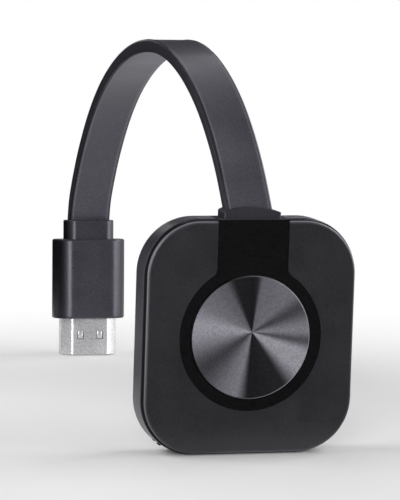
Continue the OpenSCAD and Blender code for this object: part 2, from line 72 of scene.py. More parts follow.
cable = {
    "width": 10.2 * mm,
    "thickness": 3 * mm,
    "edge": 0.55 * mm,      # radius of the edges
    "edgeSteps": 6,         # flat pieces in each round edge
    "sunk": 0.10 * mm,      # how far the flat faces lie below the edge beads
    "bead": 0.7 * mm,       # width from the round edge to the flat face
    "knotSteps": 4,         # pieces between two points of the route
    "sharp": 50,            # degrees: edges that turn more are shaded sharp
    "yaw": 1.4,             # degrees
    "start": (0, -1 * mm, 0),
    "length": 0.175,        # with the ends inside collar and neck
    "route": [  # distance behind the body and height, in mm
        (0.5, 51), (2, 52.8), (4.6, 55.9), (7.9, 59.5), (11.7, 63), (16.1, 66.5), (21.2, 70),
        (27.1, 73.3), (33.9, 76.3), (41.3, 78.8), (49.1, 80.6), (57, 81.6), (65, 81.7), (72.9, 81),
        (80.7, 79.7), (88.2, 77.7), (95.2, 75.2), (101.6, 72.3), (107.4, 69.1), (112.6, 65.6),
        (117.2, 61.9), (121.3, 58), (125, 53.9), (128.3, 49.8), (131.1, 45.7), (133.5, 41.7),
        (135.2, 38.1), (135.9, 35.2), (136.15, 33), (136.2, 31.8), (136.23, 30.6)],
}


def deselect():
    if bpy.context.object and bpy.context.object.mode != "OBJECT":
        bpy.ops.object.mode_set(mode="OBJECT")
    bpy.ops.object.select_all(action="DESELECT")


def pickOnly(piece):
    deselect()
    piece.select_set(True)
    bpy.context.view_layer.objects.active = piece


def settle(piece, name):
    pickOnly(piece)
    bpy.ops.object.transform_apply(location=True, rotation=True, scale=True)
    piece.name = name
    piece.data.name = name
    return piece


def routePoints():
    yaw = math.radians(cable["yaw"])
    start = Vector(cable["start"])
    return [start + Vector((math.sin(yaw) * t, math.cos(yaw) * t, z)) * mm for t, z in cable["route"]]


def makeCable():
    points = routePoints()
    # section: a flat strip with round edges
    halfW, halfT, edge = cable["width"] / 2, cable["thickness"] / 2, cable["edge"]
    section = bpy.data.curves.new("cableSection", "CURVE")
    outline = section.splines.new("POLY")
    corners = []
    step = 90 / cable["edgeSteps"]
    for quarter in range(4):
        sx = 1 if quarter in (0, 3) else -1
        sy = 1 if quarter < 2 else -1
        arc = [(sx * (halfW - edge) + edge * math.cos(a), sy * (halfT - edge) + edge * math.sin(a))
               for a in (math.radians(90 * quarter + step * k) for k in range(cable["edgeSteps"] + 1))]
        flat = (sx * (halfW - edge - cable["bead"]), sy * (halfT - cable["sunk"]))
        corners += [flat] + arc if quarter % 2 else arc + [flat]
    outline.points.add(len(corners) - 1)
    for point, (x, y) in zip(outline.points, corners):
        point.co = (x, y, 0, 1)
    outline.use_cyclic_u = True
    sectionPiece = bpy.data.objects.new("cableSection", section)
    bpy.context.collection.objects.link(sectionPiece)

    line = bpy.data.curves.new("flatCable", "CURVE")
    line.dimensions = "3D"
    line.twist_mode = "Z_UP"
    line.resolution_u = cable["knotSteps"]
    spline = line.splines.new("BEZIER")
    spline.bezier_points.add(len(points) - 1)
    for knot, point in zip(spline.bezier_points, points):
        knot.co = point
        knot.handle_left_type = knot.handle_right_type = "AUTO"
    line.bevel_mode = "OBJECT"
    line.bevel_object = sectionPiece
    line.use_fill_caps = True
    piece = bpy.data.objects.new("flatCable", line)
    bpy.context.collection.objects.link(piece)
    pickOnly(piece)
    bpy.ops.object.convert(target="MESH")
    piece = bpy.context.object
    bpy.data.objects.remove(sectionPiece)
    bpy.ops.object.shade_smooth_by_angle(angle=math.radians(cable["sharp"]))
    return settle(piece, "flatCable"), points


flatCable, cablePath = makeCable()
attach(flatCable, "housing")
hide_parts("flat_cable")
laid = sum((b - a).length for a, b in zip(cablePath, cablePath[1:]))
print("cable made:", len(flatCable.data.polygons), "faces", round(laid / mm, 1), "mm")

plug = {
    "reach": 133 * mm,              # how far its tip stands behind the cable's start
    "lean": 5.5,                    # degrees
    "shellWide": 13.9 * mm,
    "shellNarrow": 9.1 * mm,
    "shellDeep": 4.45 * mm,
    "shellSide": 2.9 * mm,
    "shellLong": 14.9 * mm,
    "wall": 0.35 * mm,
    "bend": 0.35 * mm,              # radius of the sheet's bends
    "bendSteps": 4,
    "window": (1.6 * mm, 1.9 * mm),
    "windowPitch": 4.9 * mm,
    "windowHeight": 4.7 * mm,
    "spring": (1.2 * mm, 0.2 * mm, 1.7 * mm),
    "springSunk": 0.12 * mm,        # how far the springs lie below the shell's face
    "springEdge": 0.07 * mm,
    "springSteps": 2,
    "sharp": 30,                    # degrees
}
# a face's normal or an edge lies along an axis when this share of its length does
along = {"normal": 0.9, "edge": 0.99}


def plugPlace():
    yaw, lean = math.radians(cable["yaw"]), math.radians(plug["lean"])
    foot = (0, plug["reach"], plug["shellDeep"] / 2 * math.sin(lean))
    return Matrix.Translation(cable["start"]) @ Matrix.Rotation(-yaw, 4, "Z") @ Matrix.Translation(
        foot) @ Matrix.Rotation(-lean, 4, "X")


def addBlock(low, high):
    deselect()
    low, high = Vector(low), Vector(high)
    bpy.ops.mesh.primitive_cube_add(size=1, location=(low + high) / 2)
    piece = bpy.context.object
    piece.scale = high - low
    bpy.ops.object.transform_apply(location=True, rotation=True, scale=True)
    return piece


def editPicked(piece, kind, test):
    # edit mode with only the faces or edges that pass the test picked
    pickOnly(piece)
    bpy.ops.object.mode_set(mode="EDIT")
    bpy.ops.mesh.select_mode(type=kind)
    bpy.ops.mesh.select_all(action="DESELECT")
    work = bmesh.from_edit_mesh(piece.data)
    for part in (work.faces if kind == "FACE" else work.edges):
        part.select_set(test(part))
    bmesh.update_edit_mesh(piece.data)


def alongZ(edge):
    span = edge.verts[1].co - edge.verts[0].co
    return abs(span.z) > along["edge"] * span.length


def bevelEdges(piece, test, offset, segments):
    editPicked(piece, "EDGE", test)
    bpy.ops.mesh.bevel(offset=offset, segments=segments, affect="EDGES")
    bpy.ops.object.mode_set(mode="OBJECT")


def cutAway(piece, cutter):
    pickOnly(piece)
    cut = piece.modifiers.new("cut", "BOOLEAN")
    cut.operation = "DIFFERENCE"
    cut.solver = "EXACT"
    cut.object = cutter
    bpy.ops.object.modifier_apply(modifier=cut.name)
    bpy.data.objects.remove(cutter)


def makePlugShell():
    halfW, halfT, long = plug["shellWide"] / 2, plug["shellDeep"] / 2, plug["shellLong"]
    shell = addBlock((-halfW, halfT - plug["shellSide"], 0), (halfW, halfT, long))
    editPicked(shell, "FACE", lambda face: face.normal.y < -along["normal"])
    bpy.ops.mesh.extrude_region_move(TRANSFORM_OT_translate={"value": (0, plug["shellSide"] - 2 * halfT, 0)})
    bpy.ops.transform.resize(value=(plug["shellNarrow"] / plug["shellWide"], 1, 1),
                             center_override=(0, 0, long / 2))
    bpy.ops.object.mode_set(mode="OBJECT")
    bevelEdges(shell, alongZ, plug["bend"], plug["bendSteps"])
    editPicked(shell, "FACE", lambda face: abs(face.normal.z) > along["normal"])
    bpy.ops.mesh.delete(type="FACE")
    bpy.ops.object.mode_set(mode="OBJECT")
    wall = shell.modifiers.new("wall", "SOLIDIFY")
    wall.thickness = plug["wall"]
    wall.offset = -1
    bpy.ops.object.modifier_apply(modifier=wall.name)
    wide, tall = plug["window"]
    springWide, springThick, springLong = plug["spring"]
    deep = plug["wall"]
    parts = [shell]
    for side in (-1, 1):
        x, z = side * plug["windowPitch"] / 2, plug["windowHeight"]
        cutAway(shell, addBlock((x - wide / 2, -halfT - deep, z - tall / 2),
                                (x + wide / 2, -halfT + 2 * deep, z + tall / 2)))
        y = -halfT + plug["springSunk"]
        spring = addBlock((x - springWide / 2, y, z - springLong / 2),
                          (x + springWide / 2, y + springThick, z + tall / 2 + deep))
        bevelEdges(spring, lambda edge: True, plug["springEdge"], plug["springSteps"])
        parts.append(spring)
    deselect()
    for part in parts:
        part.select_set(True)
    bpy.context.view_layer.objects.active = shell
    bpy.ops.object.join()
    bpy.ops.object.shade_smooth_by_angle(angle=math.radians(plug["sharp"]))
    shell.matrix_world = plugPlace()
    return settle(shell, "plugShell")


plugShell = makePlugShell()
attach(plugShell, "housing")
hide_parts("plug_shell")
print("plug shell made:", len(plugShell.data.polygons), "faces")

# the floor, a pale patch round the object in a white backdrop
stage = {
    "size": 6,
    "floor": (0.86, 0.86, 0.865),
    "rough": 0.9,
    "reflects": 0.1,
    "centre": (0.02, -0.02),    # middle of the shaded patch
    "fade": (0.10, 0.24),       # the patch turns into the white backdrop between these
}


def newMaterial(name):
    mat = bpy.data.materials.get(name) or bpy.data.materials.new(name)
    mat.use_nodes = True
    return mat, mat.node_tree, mat.node_tree.nodes["Principled BSDF"]


def mathNode(tree, operation, a, b=None):
    node = tree.nodes.new("ShaderNodeMath")
    node.operation = operation
    for socket, value in zip(node.inputs, (a, b)):
        if value is None:
            continue
        if isinstance(value, (int, float)):
            socket.default_value = value
        else:
            tree.links.new(value, socket)
    return node.outputs[0]


def axes(tree, vector):
    node = tree.nodes.new("ShaderNodeSeparateXYZ")
    tree.links.new(vector, node.inputs[0])
    return node.outputs


def raySeen(tree):
    # 1 for what the camera sees, straight or in metal and glass
    path = tree.nodes.new("ShaderNodeLightPath")
    seen = mathNode(tree, "MAXIMUM", path.outputs["Is Camera Ray"], path.outputs["Is Glossy Ray"])
    return mathNode(tree, "MAXIMUM", seen, path.outputs["Is Transmission Ray"])


def makeStage():
    deselect()
    bpy.ops.mesh.primitive_plane_add(size=stage["size"], location=(0, 0, 0))
    floor = bpy.context.object
    floor.name = "floor"
    mat, tree, bsdf = newMaterial("paleFloor")
    bsdf.inputs["Base Color"].default_value = (*stage["floor"], 1)
    bsdf.inputs["Roughness"].default_value = stage["rough"]
    bsdf.inputs["Specular IOR Level"].default_value = stage["reflects"]
    nodes, links = tree.nodes, tree.links
    source = nodes.new("ShaderNodeTexCoord")
    middle = nodes.new("ShaderNodeMapping")
    middle.inputs["Location"].default_value = (-stage["centre"][0], -stage["centre"][1], 0)
    length = nodes.new("ShaderNodeVectorMath")
    length.operation = "LENGTH"
    fade = nodes.new("ShaderNodeMapRange")
    fade.interpolation_type = "SMOOTHSTEP"
    fade.inputs["From Min"].default_value, fade.inputs["From Max"].default_value = stage["fade"]
    white = nodes.new("ShaderNodeEmission")
    white.inputs["Strength"].default_value = 1
    backdrop = nodes.new("ShaderNodeMixShader")
    links.new(source.outputs["Object"], middle.inputs["Vector"])
    links.new(middle.outputs["Vector"], length.inputs[0])
    links.new(length.outputs["Value"], fade.inputs["Value"])
    links.new(mathNode(tree, "MULTIPLY", fade.outputs["Result"], raySeen(tree)), backdrop.inputs["Fac"])
    links.new(bsdf.outputs["BSDF"], backdrop.inputs[1])
    links.new(white.outputs["Emission"], backdrop.inputs[2])
    links.new(backdrop.outputs["Shader"], nodes["Material Output"].inputs["Surface"])
    floor.data.materials.append(mat)


makeStage()

# cards that shape the reflections, as round a product in a studio: the camera never sees them, they throw no
# shadow, and soft bounced light meets only those with "bounces"
cards = {
    "frontFloorCard": {"low": (-0.25, -1.6, 0.0005), "high": (0.6, -0.02, 0.0005)},
    "frontCard": {"low": (-0.35, -1.6, 0.0), "high": (0.9, -1.6, 1.6)},
    "topCard": {"low": (-0.5, -0.6, 0.62), "high": (0.5, 0.32, 0.62)},
    "topBackCard": {"low": (-0.5, 0.32, 0.62), "high": (0.5, 0.62, 0.62), "tone": 0.4},
    "bandCard": {"low": (-0.05, 0.03, 0.001), "high": (-0.05, 0.1, 0.12), "tone": 0.21},
    "sideCard": {"low": (-0.05, 0.1, 0.0095), "high": (-0.05, 0.165, 0.16), "bounces": True},
    "sideBackCard": {"low": (-0.05, 0.165, 0.001), "high": (-0.05, 0.34, 0.16), "bounces": True},
    "archCard": {"low": (-0.05, 0.0, 0.058), "high": (-0.05, 0.1, 0.15), "bounces": True},
    "plugFloorCard": {"low": (-0.05, 0.09, 0.0005), "high": (-0.013, 0.15, 0.0005)},
    "plugCard": {"low": (-0.05, 0.2, 0.001), "high": (0.0, 0.2, 0.085)},
    "topEdgeCard": {"low": (0.0, 0.2, 0.001), "high": (0.14, 0.2, 0.092), "tone": 0.6},
    "archLeftCard": {"low": (-0.05, 0.2, 0.125), "high": (0.0, 0.2, 0.19)},
    "archTopCard": {"low": (0.0, 0.2, 0.092), "high": (0.14, 0.2, 0.19)},
}
cardTone = 0.004
cardTint = (1, 0.97, 1.12)


def makeCards():
    for name, card in cards.items():
        mat, _, bsdf = newMaterial(name)
        tone = card.get("tone", cardTone)
        bsdf.inputs["Base Color"].default_value = (*(tone * c for c in cardTint), 1)
        bsdf.inputs["Roughness"].default_value = 1
        bsdf.inputs["Specular IOR Level"].default_value = 0
        low, high = Vector(card["low"]), Vector(card["high"])
        span = high - low
        deselect()
        if span.z == 0:
            turn, scale = (0, 0, 0), (span.x, span.y, 1)
        elif span.y == 0:
            turn, scale = (math.pi / 2, 0, 0), (span.x, span.z, 1)
        else:
            turn, scale = (0, math.pi / 2, 0), (span.z, span.y, 1)
        bpy.ops.mesh.primitive_plane_add(size=1, location=(low + high) / 2, rotation=turn)
        piece = bpy.context.object
        piece.scale = scale
        piece.name = name
        piece.data.materials.append(mat)
        piece.visible_camera = piece.visible_transmission = False
        piece.visible_shadow = False
        piece.visible_diffuse = "bounces" in card


makeCards()

# soft lamps: place and size in metres, power in watts
lamps = {
    "leftFront": {"place": (-0.413, -0.837, 0.238), "size": (0.4, 0.45), "power": 5.8},
    "rightFront": {"place": (0.749, -0.579, 0.238), "size": (0.4, 0.45), "power": 3.6},
    "rightSide": {"place": (0.945, -0.203, 0.238), "size": (0.4, 0.45), "power": 2},
    "leftHigh": {"place": (-0.696, 0.173, 0.737), "size": (0.5, 0.5), "power": 3.7},
    "rightHigh": {"place": (0.696, 0.173, 0.737), "size": (0.5, 0.5), "power": 3.4},
    "backHigh": {"place": (-0.183, 0.733, 0.737), "size": (1.2, 0.8), "power": 2.6},
}
lampAim = (0, 0.05, 0.03)
worldLight = {"given": 0.12, "seen": 1}     # strength of the white world, on the object and as a backdrop


def makeLamps():
    for name, lamp in lamps.items():
        data = bpy.data.lights.new(name, "AREA")
        data.shape = "RECTANGLE"
        data.size, data.size_y = lamp["size"]
        data.energy = lamp["power"]
        piece = bpy.data.objects.new(name, data)
        bpy.context.collection.objects.link(piece)
        piece.location = lamp["place"]
        aim = Vector(lampAim) - Vector(lamp["place"])
        piece.rotation_mode = "QUATERNION"
        piece.rotation_quaternion = aim.to_track_quat("-Z", "Y")
        piece.visible_camera = False
    world = bpy.data.worlds.new("studio")
    bpy.context.scene.world = world
    world.use_nodes = True
    tree = world.node_tree
    background = tree.nodes["Background"]
    background.inputs["Color"].default_value = (1, 1, 1, 1)
    strength = tree.nodes.new("ShaderNodeMapRange")
    strength.inputs["To Min"].default_value = worldLight["given"]
    strength.inputs["To Max"].default_value = worldLight["seen"]
    tree.links.new(raySeen(tree), strength.inputs["Value"])
    tree.links.new(strength.outputs["Result"], background.inputs["Strength"])


makeLamps()
bpy.context.scene.view_settings.view_transform = "Standard"
print("stage and lamps made")


def newGroup(name, inputs, outputs):
    group = bpy.data.node_groups.new(name, "ShaderNodeTree")
    group.interface.new_socket(name="Vector", in_out="INPUT", socket_type="NodeSocketVector")
    for label, value in inputs:
        socket = group.interface.new_socket(name=label, in_out="INPUT", socket_type="NodeSocketFloat")
        socket.default_value = value
    for label in outputs:
        group.interface.new_socket(name=label, in_out="OUTPUT", socket_type="NodeSocketFloat")
    return group, group.nodes.new("NodeGroupInput"), group.nodes.new("NodeGroupOutput")


def noiseNode(group, vector, scale, detail, rough):
    node = group.nodes.new("ShaderNodeTexNoise")
    node.inputs["Detail"].default_value = detail
    node.inputs["Roughness"].default_value = rough
    group.links.new(vector, node.inputs["Vector"])
    group.links.new(scale, node.inputs["Scale"])
    return node.outputs["Fac"]


def makeMouldGrain():
    # spark-eroded mould texture: fine pits, and slow patches of more and less sheen
    group, given, out = newGroup("mouldGrain", [("Grain per metre", 3000.0), ("Patch per metre", 60.0)],
                                 ["Height", "Grain", "Patch"])
    vector, fine, slow = given.outputs[0], given.outputs[1], given.outputs[2]
    grainShare, pitShare, pitsPerGrain = 0.6, 0.4, 0.55
    grain = noiseNode(group, vector, fine, detail=3, rough=0.65)
    pits = group.nodes.new("ShaderNodeTexVoronoi")
    pits.feature = "SMOOTH_F1"
    group.links.new(vector, pits.inputs["Vector"])
    group.links.new(mathNode(group, "MULTIPLY", fine, pitsPerGrain), pits.inputs["Scale"])
    height = mathNode(group, "ADD", mathNode(group, "MULTIPLY", grain, grainShare),
                      mathNode(group, "MULTIPLY", pits.outputs["Distance"], pitShare))
    group.links.new(height, out.inputs["Height"])
    group.links.new(grain, out.inputs["Grain"])
    group.links.new(noiseNode(group, vector, slow, detail=4, rough=0.55), out.inputs["Patch"])
    return group


def makeTurnedLines():
    # rings left by the lathe round the piece's middle, and the angle round it from 0 to 1
    group, given, out = newGroup("turnedLines", [("Rings per metre", 9000.0)], ["Height", "Angle", "Radius"])
    split = axes(group, given.outputs[0])
    x, z = split["X"], split["Z"]
    radius = mathNode(group, "SQRT", mathNode(
        group, "ADD", mathNode(group, "MULTIPLY", x, x), mathNode(group, "MULTIPLY", z, z)))
    share = mathNode(group, "DIVIDE", mathNode(group, "ARCTAN2", x, z), 2 * math.pi)
    turn = mathNode(group, "ADD", share, 0.5)
    ring = group.nodes.new("ShaderNodeTexNoise")
    ring.noise_dimensions = "1D"
    ring.inputs["Scale"].default_value = 1
    ring.inputs["Detail"].default_value = 3
    group.links.new(mathNode(group, "MULTIPLY", radius, given.outputs[1]), ring.inputs["W"])
    group.links.new(ring.outputs["Fac"], out.inputs["Height"])
    group.links.new(turn, out.inputs["Angle"])
    group.links.new(radius, out.inputs["Radius"])
    return group


def makeSmudge():
    # handling: soft smears that change the roughness, where the noise lies between these
    smeared = (0.42, 0.68)
    group, given, out = newGroup("smudge", [("Smears per metre", 120.0)], ["Smear"])
    rise = group.nodes.new("ShaderNodeMapRange")
    rise.interpolation_type = "SMOOTHSTEP"
    rise.inputs["From Min"].default_value, rise.inputs["From Max"].default_value = smeared
    smear = noiseNode(group, given.outputs[0], given.outputs[1], detail=3, rough=0.6)
    group.links.new(smear, rise.inputs["Value"])
    group.links.new(rise.outputs["Result"], out.inputs["Smear"])
    return group


def makeOutlineGap():
    # how far a point lies inside a rectangle with round corners, seen from the front
    group, given, out = newGroup("outlineGap", [("Half wide", 0.02), ("Half high", 0.02), ("Corner", 0.005)],
                                 ["Inside"])
    split = axes(group, given.outputs[0])
    corner = given.outputs[3]
    past = [mathNode(group, "SUBTRACT", mathNode(group, "ABSOLUTE", split[axis]),
                     mathNode(group, "SUBTRACT", half, corner))
            for axis, half in (("X", given.outputs[1]), ("Z", given.outputs[2]))]
    beyond = [mathNode(group, "MAXIMUM", value, 0) for value in past]
    square = [mathNode(group, "MULTIPLY", value, value) for value in beyond]
    arc = mathNode(group, "SQRT", mathNode(group, "ADD", *square))
    flat = mathNode(group, "MINIMUM", mathNode(group, "MAXIMUM", *past), 0)
    inside = mathNode(group, "SUBTRACT", corner, mathNode(group, "ADD", arc, flat))
    group.links.new(inside, out.inputs["Inside"])
    return group


mouldGrain = makeMouldGrain()
outlineGap = makeOutlineGap()
turnedLines = makeTurnedLines()
smudge = makeSmudge()


def place(tree, centre=(0, 0, 0), turn=(0, 0, 0)):
    source = tree.nodes.new("ShaderNodeTexCoord")
    mapping = tree.nodes.new("ShaderNodeMapping")
    mapping.vector_type = "TEXTURE"
    mapping.inputs["Location"].default_value = centre
    mapping.inputs["Rotation"].default_value = turn
    tree.links.new(source.outputs["Object"], mapping.inputs["Vector"])
    return mapping.outputs["Vector"]


def addGroup(tree, group, vector, **values):
    node = tree.nodes.new("ShaderNodeGroup")
    node.node_tree = group
    tree.links.new(vector, node.inputs["Vector"])
    for label, value in values.items():
        node.inputs[label.replace("_", " ")].default_value = value
    return node.outputs


# the defaults of start and end in these two are the range that noise mostly fills
def ramp(tree, factor, low, high, start=0.3, end=0.7):
    node = tree.nodes.new("ShaderNodeValToRGB")
    node.color_ramp.elements[0].position = start
    node.color_ramp.elements[1].position = end
    node.color_ramp.elements[0].color = (*low, 1)
    node.color_ramp.elements[1].color = (*high, 1)
    tree.links.new(factor, node.inputs["Fac"])
    return node.outputs["Color"]


def spread(tree, factor, low, high, start=0.3, end=0.7):
    node = tree.nodes.new("ShaderNodeMapRange")
    node.inputs["From Min"].default_value = start
    node.inputs["From Max"].default_value = end
    node.inputs["To Min"].default_value = low
    node.inputs["To Max"].default_value = high
    tree.links.new(factor, node.inputs["Value"])
    return node.outputs["Result"]


def mix(tree, factor, a, b, blend="MIX"):
    node = tree.nodes.new("ShaderNodeMix")
    node.data_type = "RGBA"
    node.blend_type = blend
    for label, value in (("Factor", factor), ("A", a), ("B", b)):
        if isinstance(value, (int, tuple)):
            node.inputs[label].default_value = value
        else:
            tree.links.new(value, node.inputs[label])
    return node.outputs["Result"]


def bump(tree, height, distance):
    node = tree.nodes.new("ShaderNodeBump")
    node.inputs["Distance"].default_value = distance
    node.inputs["Strength"].default_value = 1
    tree.links.new(height, node.inputs["Height"])
    return node.outputs["Normal"]


def tint(colour, share):
    return tuple(min(1, c * share) for c in colour)


def grey(tone):
    return (tone, tone, tone)


# moulded pieces: colour, roughness from and to, grain per metre, its depth in mm, and the tint of reflections
moulded = {
    "housing_plastic": {"colour": (0.0270, 0.0264, 0.0315), "rough": (0.29, 0.36),
                        "grain": 3200, "depth": 0.016},
    "cover_plastic": {"colour": (0.0158, 0.0154, 0.0186), "rough": (0.31, 0.38),
                      "grain": 3200, "depth": 0.016, "sheen": (0.96, 0.95, 1, 1)},
    "gloss_black": {"colour": (0.0066, 0.0065, 0.0070), "rough": (0.06, 0.09),
                    "grain": 3000, "depth": 0.0002},
    "adhesive_foam": {"colour": (0.68, 0.64, 0.52), "rough": (0.8, 0.9), "grain": 5000, "depth": 0.03},
    "collar_rubber": {"colour": (0.0165, 0.0162, 0.0188), "rough": (0.36, 0.44),
                      "grain": 4200, "depth": 0.01},
    "cable_jacket": {"colour": (0.0585, 0.0570, 0.0690), "rough": (0.30, 0.37),
                     "grain": 3600, "depth": 0.016},
    "lead_black": {"colour": (0.03, 0.03, 0.033), "rough": (0.35, 0.5), "grain": 4000, "depth": 0.004},
    "pad_grey": {"colour": (0.28, 0.36, 0.44), "rough": (0.7, 0.85), "grain": 2500, "depth": 0.03},
    "chip_black": {"colour": (0.02, 0.02, 0.022), "rough": (0.5, 0.65), "grain": 7000, "depth": 0.006},
    "ferrite_grey": {"colour": (0.12, 0.12, 0.13), "rough": (0.6, 0.8), "grain": 6000, "depth": 0.02},
    "capacitor_tan": {"colour": (0.55, 0.42, 0.26), "rough": (0.45, 0.6), "grain": 6000, "depth": 0.01},
    "insulator_black": {"colour": (0.012, 0.012, 0.014), "rough": (0.35, 0.5), "grain": 4000, "depth": 0.006},
    "led_white": {"colour": (0.85, 0.85, 0.78), "rough": (0.25, 0.35), "grain": 3000, "depth": 0.004},
    "plunger_cream": {"colour": (0.75, 0.72, 0.62), "rough": (0.4, 0.5), "grain": 4000, "depth": 0.006},
    "button_black": {"colour": (0.004, 0.004, 0.0045), "rough": (0.6, 0.7),
                     "grain": 5000, "depth": 0.006, "sheen": (0.1, 0.1, 0.1, 1)},
    "plug_rubber": {"colour": (0.0380, 0.0372, 0.0445), "rough": (0.28, 0.34), "grain": 3600, "depth": 0.018},
    "plug_plastic": {"colour": (0.0380, 0.0372, 0.0445), "rough": (0.28, 0.34),
                     "grain": 3600, "depth": 0.018},
}
mouldedLook = {
    "patches": 90,                      # per metre
    "smears": 140,                      # per metre
    "patchShares": (0.93, 1.07),        # the colour's shares in the slow patches
    "grainShares": (0.58, 1.08),        # and in the grain, over this range of its noise
    "grainRange": (0.38, 0.62),
    "smearShare": -0.4,                 # a smear changes the roughness by this share of its range
    "sheen": (0.88, 0.84, 1, 1),
    "reflects": 0.56,
}
# painted shade: the parting line between cover and housing is painted near black and made matt: where along Y
paintedSeamShade = {"housing_plastic": (-3.30 * mm, -3.20 * mm), "cover_plastic": (-4.34 * mm, -4.42 * mm)}
paintedSeamShadeColour = (0.002, 0.002, 0.002, 1)
# along the top the painted seam shade is mostly lifted, where light reaches it: the share lifted, over these
# heights
paintedSeamShadeTop = {"share": 0.8, "heights": (49.2 * mm, 49.9 * mm)}
# the strap is matt where it lies on the top
strapTop = {"slot": "gloss_black", "rough": 0.7, "heights": (50.12 * mm, 50.24 * mm)}
# painted highlight: a light line and a lighter band are painted along the cover's outline, where its round
# edge catches the light
outlineHighlight = {
    "slot": "cover_plastic",
    "centre": (0, 0, 25.15 * mm),
    "half": (23.45 * mm, 25.15 * mm),
    "corner": 11.95 * mm,
    "rim": (0.56 * mm, 0.66 * mm),      # the painted highlight line ends between these
    "fade": (0.62 * mm, 1.25 * mm),
    "rimHighlightColour": (0.15, 0.146, 0.168),
    "colour": (0.048, 0.047, 0.054),
    "left": (-16 * mm, -4 * mm),        # the painted highlight is weakest at the lower left corner
    "low": (4 * mm, 26 * mm),
    "least": 0.4,
}
# painted shade: narrow sides are painted darker than the flats: from where to where across the piece, and the
# colour's share left
paintedSideShade = {
    "cable_jacket": (4.55 * mm, 4.75 * mm, 0.10),
    "plug_rubber": (5.1 * mm, 6.0 * mm, 0.2),
    "plug_plastic": (6.2 * mm, 7.8 * mm, 0.15),
}
# painted highlight: the crests of the cable's beads are painted lighter, and the middle of its side is
# painted nearly as light as its flats
cableBeadHighlight = {
    "slot": "cable_jacket",
    "side": 0.7,
    "sideRise": (4.97 * mm, 5.08 * mm),
    "crest": 1.9,
    "crestRise": (4.0 * mm, 4.25 * mm),
    "crestFall": (4.4 * mm, 4.6 * mm),
}


def paintSideShade(tree, slot, shown):
    start, end, left = paintedSideShade[slot]
    across = axes(tree, place(tree, cable["start"], (0, 0, -math.radians(cable["yaw"]))))
    off = mathNode(tree, "ABSOLUTE", across["X"])
    share = spread(tree, off, 1, left, start, end)
    # painted highlight on the bead crests and the middle of the side
    if slot == cableBeadHighlight["slot"]:
        middle = spread(tree, off, 0, cableBeadHighlight["side"], *cableBeadHighlight["sideRise"])
        crest = mathNode(tree, "MINIMUM", spread(tree, off, 1, cableBeadHighlight["crest"], *cableBeadHighlight["crestRise"]),
                         spread(tree, off, cableBeadHighlight["crest"], 0, *cableBeadHighlight["crestFall"]))
        share = mathNode(tree, "MAXIMUM", mathNode(tree, "MAXIMUM", share, middle), crest)
    scaled = tree.nodes.new("ShaderNodeVectorMath")
    scaled.operation = "SCALE"
    tree.links.new(shown, scaled.inputs[0])
    tree.links.new(share, scaled.inputs["Scale"])
    return scaled.outputs["Vector"]


def paintOutlineHighlight(tree, vector, shown):
    inside = addGroup(tree, outlineGap, place(tree, outlineHighlight["centre"]), Half_wide=outlineHighlight["half"][0],
                      Half_high=outlineHighlight["half"][1], Corner=outlineHighlight["corner"])["Inside"]
    rim = ramp(tree, spread(tree, inside, 0, 1, *outlineHighlight["rim"]), outlineHighlight["rimHighlightColour"], outlineHighlight["colour"], 0, 1)
    highlightFade = spread(tree, inside, 1, 0, *outlineHighlight["fade"])
    spot = axes(tree, vector)
    right = spread(tree, spot["X"], 0, 1, *outlineHighlight["left"])
    high = spread(tree, spot["Z"], outlineHighlight["least"], 1, *outlineHighlight["low"])
    factor = mathNode(tree, "MULTIPLY", mathNode(tree, "MULTIPLY", highlightFade, highlightFade),
                      mathNode(tree, "MAXIMUM", right, high))
    return mix(tree, factor, shown, rim)


def seamUnshadedShare(tree, slot, vector):
    # 0 in the seam's painted shade and 1 outside it
    split = axes(tree, vector)
    return mathNode(tree, "MAXIMUM", spread(tree, split["Y"], 0, 1, *paintedSeamShade[slot]),
                    spread(tree, split["Z"], 0, paintedSeamShadeTop["share"], *paintedSeamShadeTop["heights"]))


def makeMoulded(slot, finish):
    mat, tree, bsdf = newMaterial(slot)
    vector = place(tree)
    grain = addGroup(tree, mouldGrain, vector, Grain_per_metre=finish["grain"],
                     Patch_per_metre=mouldedLook["patches"])
    smear = addGroup(tree, smudge, vector, Smears_per_metre=mouldedLook["smears"])["Smear"]
    colours = (tint(finish["colour"], share) for share in mouldedLook["patchShares"])
    colour = ramp(tree, grain["Patch"], *colours)
    speckle = ramp(tree, grain["Grain"], *map(grey, mouldedLook["grainShares"]), *mouldedLook["grainRange"])
    shown = mix(tree, 1, colour, speckle, "MULTIPLY")
    low, high = finish["rough"]
    rough = mathNode(tree, "ADD", spread(tree, grain["Patch"], low, high),
                     mathNode(tree, "MULTIPLY", smear, (high - low) * mouldedLook["smearShare"]))
    # painted shade on the narrow sides
    if slot in paintedSideShade:
        shown = paintSideShade(tree, slot, shown)
    # painted highlight along the cover's outline
    if slot == outlineHighlight["slot"]:
        shown = paintOutlineHighlight(tree, vector, shown)
    # painted shade in the seam: colour near black, roughness raised
    if slot in paintedSeamShade:
        lit = seamUnshadedShare(tree, slot, vector)
        shown = mix(tree, lit, paintedSeamShadeColour, shown)
        rough = mathNode(tree, "MAXIMUM", rough, mathNode(tree, "SUBTRACT", 1, lit))
    if slot == strapTop["slot"]:
        matt = spread(tree, axes(tree, vector)["Z"], 0, strapTop["rough"], *strapTop["heights"])
        rough = mathNode(tree, "MAXIMUM", rough, matt)
    tree.links.new(shown, bsdf.inputs["Base Color"])
    tree.links.new(rough, bsdf.inputs["Roughness"])
    bsdf.inputs["Specular Tint"].default_value = finish.get("sheen", mouldedLook["sheen"])
    bsdf.inputs["Specular IOR Level"].default_value = mouldedLook["reflects"]
    tree.links.new(bump(tree, grain["Height"], finish["depth"] * mm), bsdf.inputs["Normal"])
    return mat


